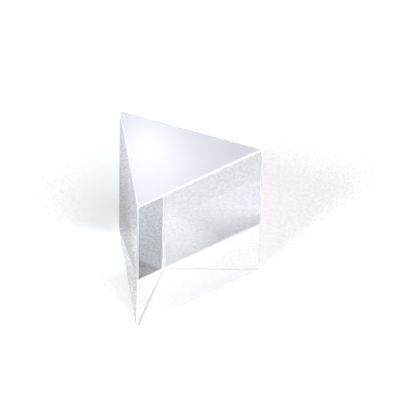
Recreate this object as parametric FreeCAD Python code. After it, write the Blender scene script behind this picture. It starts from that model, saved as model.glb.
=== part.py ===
import FreeCAD, Part
import math
import os

# Equilateral dispersing prism, cut from one block of clear dense flint glass. It stands on one
# triangular end. The three sides are polished, and both ends, the bevels and the dubbed corners
# are fine ground. Sizes are in millimetres. The origin is the middle of the lower end, +Z runs up
# the prism, and one polished side looks along -Y.

# Driving sizes
side_length = 25.0  # side of the end triangle, between the sharp corners before bevelling
height = 25.0  # from the lower ground end to the upper one
long_bevel_width = 0.35  # face width of the bevel along each upright edge
end_bevel_width = 0.35  # face width of the bevel round each ground end
corner_dub = 0.15  # how far a dubbed corner reaches in past the bevels that meet there

# The three upright edges and the three polished sides, as angles about the prism's axis
edge_angles = (90, 210, 330)
side_angles = (270, 30, 150)
half_edge_angle = math.radians(30)

UP = FreeCAD.Vector(0, 0, 1)
axis_to_edge = side_length / (2 * math.cos(half_edge_angle))
axis_to_side = axis_to_edge * math.sin(half_edge_angle)
long_bevel_depth = long_bevel_width / (2 * math.tan(half_edge_angle))
end_bevel_leg = end_bevel_width / math.sqrt(2)
end_corner_depth = max(end_bevel_leg / math.sin(half_edge_angle), long_bevel_depth)
corner_leg = end_corner_depth + corner_dub


def outward(angle):
    """Level unit vector from the prism's axis towards an edge or a side."""
    turn = math.radians(angle)
    return FreeCAD.Vector(math.cos(turn), math.sin(turn), 0)


def saw_blank():
    """The block as sawn, with sharp edges: an equilateral triangle drawn straight up."""
    corners = [outward(angle) * axis_to_edge for angle in edge_angles]
    triangle = Part.makePolygon(corners + corners[:1])
    return Part.Face(triangle).extrude(UP * height)


def grind(block, touch, facing):
    """Take off all that lies beyond the plane through touch, as a flat lap does."""
    reach = 2 * (side_length + height)
    lap = Part.makeBox(reach, reach, reach, FreeCAD.Vector(-reach / 2, -reach / 2, 0))
    lap.Placement = FreeCAD.Placement(touch, FreeCAD.Rotation(UP, facing))
    return block.cut(lap)


def bevel_upright_edges(block):
    """Grind the sharp upright edges back to narrow flats that face straight out."""
    for angle in edge_angles:
        out = outward(angle)
        block = grind(block, out * (axis_to_edge - long_bevel_depth), out)
    return block


def slope_both_ends(block, angles, axis_distance, leg):
    """Grind a 45 degree flat at both ends, which takes leg off the upright line at each angle."""
    for angle in angles:
        out = outward(angle)
        foot = out * axis_distance
        block = grind(block, foot + UP * leg, out - UP)
        block = grind(block, foot + UP * (height - leg), out + UP)
    return block


glass_prism = bevel_upright_edges(saw_blank())
glass_prism = slope_both_ends(glass_prism, side_angles, axis_to_side, end_bevel_leg)
glass_prism = slope_both_ends(glass_prism, edge_angles, axis_to_edge, corner_leg)
glass_prism = glass_prism.Solids[0]

os.makedirs("parts", exist_ok=True)
glass_prism.exportStep("parts/glass_prism.step")

print("valid", glass_prism.isValid(), "faces", len(glass_prism.Faces))
print("volume in cubic mm", round(glass_prism.Volume, 2))
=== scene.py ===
import math

import bpy
from mathutils import Matrix, Vector


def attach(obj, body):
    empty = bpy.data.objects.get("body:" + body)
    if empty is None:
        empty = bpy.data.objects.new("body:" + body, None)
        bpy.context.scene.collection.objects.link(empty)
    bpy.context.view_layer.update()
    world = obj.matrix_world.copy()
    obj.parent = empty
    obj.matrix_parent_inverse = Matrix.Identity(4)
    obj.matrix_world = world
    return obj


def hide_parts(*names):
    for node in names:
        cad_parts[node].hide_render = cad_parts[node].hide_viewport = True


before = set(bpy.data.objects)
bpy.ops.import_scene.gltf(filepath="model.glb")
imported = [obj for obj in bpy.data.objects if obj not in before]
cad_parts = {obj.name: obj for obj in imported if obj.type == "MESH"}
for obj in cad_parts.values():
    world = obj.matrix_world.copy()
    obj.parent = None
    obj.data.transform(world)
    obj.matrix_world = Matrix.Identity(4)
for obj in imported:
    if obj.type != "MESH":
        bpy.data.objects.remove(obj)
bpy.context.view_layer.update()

# The prism is one block of dense flint glass. It is sawn as an equilateral triangle drawn straight
# up, then ground flat by flat: two ends, a narrow bevel along every edge, and a dubbed corner
# wherever bevels meet. Sizes are those of the solid, in metres.
side_length = 0.025
height = 0.025
long_bevel_width = 0.00035
end_bevel_width = 0.00035
corner_dub = 0.00015
glass_index = 1.61

# The three sides are pitch polished until they are clear. The glass bends light strongly, and
# it swallows a little of it on the way.
polished = bpy.data.materials.new("polished_flint_glass")
polished.use_nodes = True
nodes, links = polished.node_tree.nodes, polished.node_tree.links
clear = nodes["Principled BSDF"]
clear.inputs["Base Color"].default_value = (0.972, 0.976, 0.987, 1.0)
clear.inputs["Transmission Weight"].default_value = 1.0
clear.inputs["IOR"].default_value = glass_index
clear.inputs["Roughness"].default_value = 0.0


def let_lamps_in(nodes, links, surface, leaving_share):
    """Lamp light goes into the glass by any face. Of the light that reaches this face from
    inside, the leaving share comes out, unbent."""
    mix_first, mix_second, mix_result = 6, 7, 2  # the colour sockets of a Mix node
    path = nodes.new("ShaderNodeLightPath")
    way = nodes.new("ShaderNodeNewGeometry")
    share = nodes.new("ShaderNodeMix")
    share.data_type = "RGBA"
    links.new(way.outputs["Backfacing"], share.inputs[0])
    share.inputs[mix_first].default_value = (leaving_share, leaving_share, leaving_share, 1.0)
    share.inputs[mix_second].default_value = (1.0, 1.0, 1.0, 1.0)
    passing = nodes.new("ShaderNodeBsdfTransparent")
    links.new(share.outputs[mix_result], passing.inputs["Color"])
    either = nodes.new("ShaderNodeMixShader")
    links.new(path.outputs["Is Shadow Ray"], either.inputs[0])
    links.new(surface.outputs[0], either.inputs[1])
    links.new(passing.outputs[0], either.inputs[2])
    links.new(either.outputs[0], nodes["Material Output"].inputs["Surface"])


# Beside the prism only a tenth of the lamp light comes out unbent, so the prism casts a shadow.
let_lamps_in(nodes, links, clear, leaving_share=0.1)


def ground_glass(name, colour, clearness, roughness, pit_strength, leaving_share=1.0):
    """Fine ground glass. The grit leaves pits a few hundredths of a millimetre wide, which scatter
    the light and turn the glass white."""
    pits_per_metre = 22000.0
    pit_detail = 3.0
    pit_depth = 0.00002
    material = bpy.data.materials.new(name)
    material.use_nodes = True
    nodes, links = material.node_tree.nodes, material.node_tree.links
    matt = nodes["Principled BSDF"]
    matt.inputs["Base Color"].default_value = (*colour, 1.0)
    matt.inputs["Transmission Weight"].default_value = clearness
    matt.inputs["IOR"].default_value = glass_index
    matt.inputs["Roughness"].default_value = roughness
    place = nodes.new("ShaderNodeTexCoord")
    grit = nodes.new("ShaderNodeTexNoise")
    grit.inputs["Scale"].default_value = pits_per_metre
    grit.inputs["Detail"].default_value = pit_detail
    links.new(place.outputs["Object"], grit.inputs["Vector"])
    pits = nodes.new("ShaderNodeBump")
    pits.inputs["Strength"].default_value = pit_strength
    pits.inputs["Distance"].default_value = pit_depth
    links.new(grit.outputs["Fac"], pits.inputs["Height"])
    links.new(pits.outputs["Normal"], matt.inputs["Normal"])
    let_lamps_in(nodes, links, matt, leaving_share)
    return material


# Both ends, the bevels and the dubbed corners are ground with fine grit and left matt. The lower
# end is painted the whitest, as painted light from the white paper that lies against it.
# The upper end's darker blue-grey colour is painted shade.
ground = ground_glass(
    "ground_flint_glass", (0.59, 0.6, 0.65), clearness=0.6, roughness=0.45, pit_strength=0.15
)
bevel = ground_glass(
    "ground_bevel_glass", (0.95, 0.96, 0.98), clearness=0.6, roughness=0.45, pit_strength=0.02
)
# The lower end's near-white colour is painted light from the paper under it.
foot = ground_glass(
    "ground_foot_glass", (1.0, 1.0, 0.985), clearness=0.5, roughness=0.9, pit_strength=0.15
)
# The lower bevels' colour, a little darker than the other bevels', is painted shade along the lower
# edges.
foot_bevel = ground_glass(
    "ground_foot_bevel_glass", (0.93, 0.93, 0.95), clearness=0.6, roughness=0.5, pit_strength=0.02,
    leaving_share=0.2
)

# The block is shaped by a tree with one input for each size. Six rings of six points carry all of
# its faces, and the place of each point is worked out from the sizes, as the solid's corners are.
tree = bpy.data.node_groups.new("ground_prism", "GeometryNodeTree")
tree.is_modifier = True
nodes, links = tree.nodes, tree.links
sizes = {
    "Side Length": side_length,
    "Height": height,
    "Long Bevel Width": long_bevel_width,
    "End Bevel Width": end_bevel_width,
    "Corner Dub": corner_dub,
}
tree.interface.new_socket("Geometry", in_out="INPUT", socket_type="NodeSocketGeometry")
for name, size in sizes.items():
    socket = tree.interface.new_socket(name, in_out="INPUT", socket_type="NodeSocketFloat")
    socket.default_value = size
tree.interface.new_socket("Geometry", in_out="OUTPUT", socket_type="NodeSocketGeometry")
asked = nodes.new("NodeGroupInput").outputs
made = nodes.new("NodeGroupOutput").inputs


def feed(socket, value):
    """Gives a socket another socket's output, or a plain value."""
    if isinstance(value, bpy.types.NodeSocket):
        links.new(value, socket)
    else:
        socket.default_value = value


def calc(operation, first, second=0.0):
    """A Math node's output, from two sockets or plain numbers, in the tree being wired."""
    node = nodes.new("ShaderNodeMath")
    node.operation = operation
    feed(node.inputs[0], first)
    feed(node.inputs[1], second)
    return node.outputs[0]


def pick(number, values):
    """The value that stands at this number in the list."""
    node = nodes.new("GeometryNodeIndexSwitch")
    node.data_type = "FLOAT"
    while len(node.index_switch_items) < len(values):
        node.index_switch_items.new()
    feed(node.inputs["Index"], number)
    for place_in_list, value in enumerate(values):
        feed(node.inputs[place_in_list + 1], value)
    return node.outputs[0]


half_angle = math.radians(30)
axis_to_edge = calc("MULTIPLY", asked["Side Length"], 1 / (2 * math.cos(half_angle)))
bevel_depth = calc("MULTIPLY", asked["Long Bevel Width"], 1 / (2 * math.tan(half_angle)))
end_leg = calc("MULTIPLY", asked["End Bevel Width"], 1 / math.sqrt(2))
end_corner = calc("MAXIMUM", calc("MULTIPLY", end_leg, 1 / math.sin(half_angle)), bevel_depth)
corner_leg = calc("ADD", end_corner, asked["Corner Dub"])

ring_count = 6
ring_points = 6
corner_points = 2
last_ring = ring_count - 1
half_step = 0.5  # keeps a rounding error from moving a point to the wrong ring or corner
rings = nodes.new("GeometryNodeMeshCylinder")
rings.fill_type = "NGON"
rings.inputs["Vertices"].default_value = ring_points
rings.inputs["Side Segments"].default_value = last_ring
count = nodes.new("GeometryNodeInputIndex").outputs[0]
ring = calc("FLOOR", calc("DIVIDE", calc("ADD", count, half_step), ring_points))
from_end = calc("MINIMUM", ring, calc("SUBTRACT", last_ring, ring))
column = calc("SUBTRACT", count, calc("MULTIPLY", ring, ring_points))
corner = calc("FLOOR", calc("DIVIDE", calc("ADD", column, half_step), corner_points))
second_point = calc("SUBTRACT", column, calc("MULTIPLY", corner, corner_points))
side_sign = calc("SUBTRACT", calc("MULTIPLY", second_point, 2.0), 1.0)

# Counted from an end, the rings lie on the end itself, on the lower rim of its bevel, and where
# the corner flat runs out in the upright bevel. The first ring of all is on the upper end.
rise = pick(from_end, (0.0, end_leg, calc("SUBTRACT", corner_leg, bevel_depth)))
cut = pick(from_end, (corner_leg, calc("SUBTRACT", corner_leg, end_leg), bevel_depth))
inset = pick(from_end, (calc("MULTIPLY", end_leg, 1 / math.sin(half_angle)), 0.0, 0.0))
upper = calc("LESS_THAN", ring, last_ring / 2)
rise_sign = calc("SUBTRACT", 1.0, calc("MULTIPLY", upper, 2.0))
level = calc("ADD", calc("MULTIPLY", upper, asked["Height"]), calc("MULTIPLY", rise, rise_sign))
along = calc("SUBTRACT", axis_to_edge, cut)
half_width = calc("MULTIPLY", calc("SUBTRACT", cut, inset), math.tan(half_angle))
across = calc("MULTIPLY", half_width, side_sign)

third_of_turn = math.radians(120)
first_corner = math.radians(90) / third_of_turn
at_corner = nodes.new("ShaderNodeCombineXYZ")
feed(at_corner.inputs["X"], along)
feed(at_corner.inputs["Y"], across)
feed(at_corner.inputs["Z"], level)
turn = nodes.new("ShaderNodeVectorRotate")
turn.rotation_type = "Z_AXIS"
feed(turn.inputs["Vector"], at_corner.outputs[0])
feed(turn.inputs["Angle"], calc("MULTIPLY", calc("ADD", corner, first_corner), third_of_turn))
shaped = nodes.new("GeometryNodeSetPosition")
feed(shaped.inputs["Geometry"], rings.outputs["Mesh"])
feed(shaped.inputs["Position"], turn.outputs[0])
whole = nodes.new("GeometryNodeRealizeInstances")
feed(whole.inputs["Geometry"], shaped.outputs["Geometry"])

# A polished side is an upright face whose middle is nearer to the axis than an upright bevel's. All
# other faces are ground.
level_facing = 0.1
side_nearness = 0.4
facing = nodes.new("ShaderNodeSeparateXYZ")
feed(facing.inputs[0], nodes.new("GeometryNodeInputNormal").outputs[0])
middle = nodes.new("ShaderNodeSeparateXYZ")
feed(middle.inputs[0], nodes.new("GeometryNodeInputPosition").outputs[0])
square_x = calc("POWER", middle.outputs["X"], 2.0)
square_y = calc("POWER", middle.outputs["Y"], 2.0)
from_axis = calc("SQRT", calc("ADD", square_x, square_y))
upright = calc("LESS_THAN", calc("ABSOLUTE", facing.outputs["Z"]), level_facing)
near = calc("LESS_THAN", from_axis, calc("MULTIPLY", asked["Side Length"], side_nearness))
is_polished = calc("MULTIPLY", upright, near)
is_ground = calc("SUBTRACT", 1.0, is_polished)


def finish_faces(geometry, finish, chosen=True):
    """Gives the chosen faces a finish."""
    node = nodes.new("GeometryNodeSetMaterial")
    feed(node.inputs["Geometry"], geometry)
    feed(node.inputs["Selection"], chosen)
    node.inputs["Material"].default_value = finish
    return node.outputs["Geometry"]


# Each ground finish takes over from the one before it on faces that point lower than its limit, where
# 1 is straight up and -1 straight down.
not_quite_up = 0.9
below_level = -0.1
nearly_down = -0.9
finished = finish_faces(whole.outputs["Geometry"], ground)
finished = finish_faces(finished, polished, is_polished)
for finish, limit in ((bevel, not_quite_up), (foot_bevel, below_level), (foot, nearly_down)):
    points_lower = calc("LESS_THAN", facing.outputs["Z"], limit)
    finished = finish_faces(finished, finish, calc("MULTIPLY", points_lower, is_ground))
feed(made["Geometry"], finished)

block = bpy.data.objects.new("prism_block", bpy.data.meshes.new("prism_block"))
bpy.context.scene.collection.objects.link(block)
shaping = block.modifiers.new("shape", "NODES")
shaping.node_group = tree
bpy.context.view_layer.update()
block_mesh = bpy.data.meshes.new_from_object(block.evaluated_get(bpy.context.evaluated_depsgraph_get()))
block.modifiers.remove(shaping)
block.data = block_mesh
block_mesh.name = "prism_block"

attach(block, "root")
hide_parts("glass_prism")

# The prism stands on a sheet of smooth white paper. The lamps light the sheet, so it keeps the
# prism's shadow. A part of its white comes from itself, where the camera looks straight at it,
# and a trace of that shows in gloss and glass.
reach = 3.0
gap_under_prism = 0.00002
paper_shine_to_camera = 0.35
paper_shine_to_glass = 0.02
floor_corners = [(-reach, -reach, 0), (reach, -reach, 0), (reach, reach, 0), (-reach, reach, 0)]
floor_mesh = bpy.data.meshes.new("floor")
floor_mesh.from_pydata(floor_corners, [], [(0, 1, 2, 3)])
floor = bpy.data.objects.new("floor", floor_mesh)
floor.location.z = -gap_under_prism
bpy.context.scene.collection.objects.link(floor)
sheet = bpy.data.materials.new("white_sheet")
sheet.use_nodes = True
nodes, links = sheet.node_tree.nodes, sheet.node_tree.links
sheet_body = nodes["Principled BSDF"]
sheet_body.inputs["Roughness"].default_value = 0.9
sheet_body.inputs["Specular IOR Level"].default_value = 0.0


def stretch(value, low, high, low_result, high_result):
    """Turns low into the low result and high into the high one, and what lies between in step."""
    node = nodes.new("ShaderNodeMapRange")
    feed(node.inputs["Value"], value)
    feed(node.inputs["From Min"], low)
    feed(node.inputs["From Max"], high)
    feed(node.inputs["To Min"], low_result)
    feed(node.inputs["To Max"], high_result)
    return node.outputs[0]


# The paper has a fine tooth, which shows as a faint grain in the shadows and through the glass.
tooth_per_metre = 2100.0
tooth_detail = 2.0
tooth_hollow = 0.38
tooth_crest = 0.62
hollow_tone = 0.7
crest_tone = 0.9
paper_place = nodes.new("ShaderNodeTexCoord")
tooth = nodes.new("ShaderNodeTexNoise")
tooth.inputs["Scale"].default_value = tooth_per_metre
tooth.inputs["Detail"].default_value = tooth_detail
feed(tooth.inputs["Vector"], paper_place.outputs["Object"])
paper_tone = stretch(tooth.outputs["Fac"], tooth_hollow, tooth_crest, hollow_tone, crest_tone)
feed(sheet_body.inputs["Base Color"], paper_tone)
seen = nodes.new("ShaderNodeLightPath")
in_glass = calc("MAXIMUM", seen.outputs["Is Glossy Ray"], seen.outputs["Is Transmission Ray"])
to_camera = calc("MULTIPLY", seen.outputs["Is Camera Ray"], paper_shine_to_camera)
to_glass = calc("MULTIPLY", in_glass, paper_shine_to_glass)
glow = nodes.new("ShaderNodeEmission")
glow.inputs["Color"].default_value = (1.0, 1.0, 0.98, 1.0)
feed(glow.inputs["Strength"], calc("ADD", to_glass, to_camera))
both = nodes.new("ShaderNodeAddShader")
feed(both.inputs[0], sheet_body.outputs[0])
feed(both.inputs[1], glow.outputs[0])
feed(nodes["Material Output"].inputs["Surface"], both.outputs[0])
floor_mesh.materials.append(sheet)

# The studio walls are white low down and grey above. Only gloss and glass see them, and the camera
# sees plain white. The walls light nothing by themselves.
wall_white_below = 0.03
wall_grey_above = 0.2
wall_white = 1.0
wall_grey = 0.46
studio = bpy.data.worlds.new("studio")
bpy.context.scene.world = studio
studio.use_nodes = True
nodes, links = studio.node_tree.nodes, studio.node_tree.links
air = nodes["Background"]
air.inputs["Color"].default_value = (0.99, 0.96, 1.0, 1.0)
direction_seen = nodes.new("ShaderNodeTexCoord")
height_seen = nodes.new("ShaderNodeSeparateXYZ")
feed(height_seen.inputs[0], direction_seen.outputs["Generated"])
wall = stretch(height_seen.outputs["Z"], wall_white_below, wall_grey_above, wall_white, wall_grey)
looked = nodes.new("ShaderNodeLightPath")
in_glass = calc("MAXIMUM", looked.outputs["Is Glossy Ray"], looked.outputs["Is Transmission Ray"])
wall_in_glass = calc("MULTIPLY", wall, in_glass)
feed(air.inputs["Strength"], calc("MAXIMUM", looked.outputs["Is Camera Ray"], wall_in_glass))


def direction(azimuth, elevation):
    """Unit vector to where an azimuth and an elevation point. Azimuth 0 is in front, and a quarter
    turn is on the right."""
    level_part = math.cos(elevation)
    return Vector((math.sin(azimuth) * level_part, -math.cos(azimuth) * level_part, math.sin(elevation)))


def facing_away(place, back):
    """The matrix of a thing that stands at a place and looks away from the way back."""
    return Matrix.Translation(place) @ back.to_track_quat("Z", "Y").to_matrix().to_4x4()


def lamp(name, azimuth, elevation, level, colour, shine=True):
    """A round soft lamp far off. Azimuth and elevation are in degrees, and level is the brightness
    that it alone gives white paper."""
    lamp_width = math.radians(17)
    rise_angle = math.radians(elevation)
    light = bpy.data.lights.new(name, "SUN")
    light.angle = lamp_width
    light.energy = level * math.pi / math.sin(rise_angle)
    light.color = colour
    box = bpy.data.objects.new(name, light)
    box.matrix_world = facing_away(Vector(), direction(math.radians(azimuth), rise_angle))
    box.visible_transmission = False
    box.visible_glossy = shine
    bpy.context.scene.collection.objects.link(box)


# Five soft lamps stand in front and at the left. Together they make the soft shadows on both sides
# of the prism and the cool and warm tints in them. Only the front one shows as a gleam.
lamp("left_softbox", azimuth=-78, elevation=36, level=0.37, colour=(0.84, 0.95, 1.0), shine=False)
lamp("front_softbox", azimuth=-6, elevation=40, level=0.15, colour=(0.97, 0.98, 0.98))
lamp("high_softbox", azimuth=-6, elevation=62, level=0.17, colour=(0.84, 1.0, 0.98), shine=False)
lamp("right_softbox", azimuth=7, elevation=45, level=0.15, colour=(1.0, 0.9, 0.98), shine=False)
lamp("key_softbox", azimuth=-23, elevation=40, level=0.19, colour=(1.0, 0.78, 0.87), shine=False)

# A small soft lamp close behind the prism shines off the matt upper end, most of all on its left.
shine_distance = 0.05
shine_spot = Vector((-0.0034, 0.0023, 0.025))
shine_way = Vector((0.4721, 0.6159, 0.6307))
shine = bpy.data.lights.new("back_softbox", "AREA")
shine.shape = "DISK"
shine.size = 0.012
shine.spread = math.radians(25)
shine.energy = 0.0002
shine_box = bpy.data.objects.new("back_softbox", shine)
shine_box.matrix_world = facing_away(shine_spot + shine_way * shine_distance, shine_way)
shine_box.visible_camera = False
shine_box.visible_transmission = False
bpy.context.scene.collection.objects.link(shine_box)

# Light from the front goes in by the front side, is thrown back by the right one and comes out by
# the left one as a slanted beam, which lights the sheet beside the prism.
beam_azimuth = math.radians(-127.4)
beam_slope = math.radians(45)
beam_wide = 0.0109
beam_tall = 0.0110
beam_level = 0.27
beam_window = Vector((-0.00275, 0.0097, 0.0078))  # where the beam leaves the left side
beam_start = 0.008  # how far behind the window its lamp stands, inside the glass
beam_way = direction(beam_azimuth, -beam_slope)
beam = bpy.data.lights.new("beam_from_prism", "AREA")
beam.shape = "RECTANGLE"
beam.size = beam_wide
beam.size_y = beam_tall
beam.spread = math.radians(18)
beam.use_shadow = False
beam.color = (0.97, 1.0, 0.97)
beam.energy = beam_level * math.pi / math.sin(beam_slope) * beam_wide * beam_tall
beam_box = bpy.data.objects.new("beam_from_prism", beam)
beam_box.matrix_world = facing_away(beam_window - beam_way * beam_start, -beam_way)
beam_box.visible_camera = False
beam_box.visible_glossy = False
beam_box.visible_transmission = False
bpy.context.scene.collection.objects.link(beam_box)

# The camera looks down on the prism from the front left, through a very long lens, so lines that
# are parallel on the prism stay nearly parallel in the picture.
camera_azimuth = math.radians(-37.47)
camera_elevation = math.radians(39.10)
camera_roll = math.radians(0.817)
camera_distance = 1.24
focal_length_in_pixels = 7680
picture_width_in_pixels = 400
aim_right = 0.00453
aim_up = 0.01226
back = direction(camera_azimuth, camera_elevation)
level_right = Vector((math.cos(camera_azimuth), math.sin(camera_azimuth), 0.0))
level_up = back.cross(level_right)
right = level_right * math.cos(camera_roll) + level_up * math.sin(camera_roll)
up_way = level_up * math.cos(camera_roll) - level_right * math.sin(camera_roll)
eye = back * camera_distance + right * aim_right + up_way * aim_up
film = bpy.data.cameras.new("camera")
film.sensor_width = 36.0
film.lens = film.sensor_width * focal_length_in_pixels / picture_width_in_pixels
film.clip_end = 20.0
camera = bpy.data.objects.new("camera", film)
camera.matrix_world = Matrix.Translation(eye) @ Matrix((right, up_way, back)).transposed().to_4x4()
bpy.context.scene.collection.objects.link(camera)
bpy.context.scene.camera = camera
bpy.context.scene.view_settings.view_transform = "Standard"
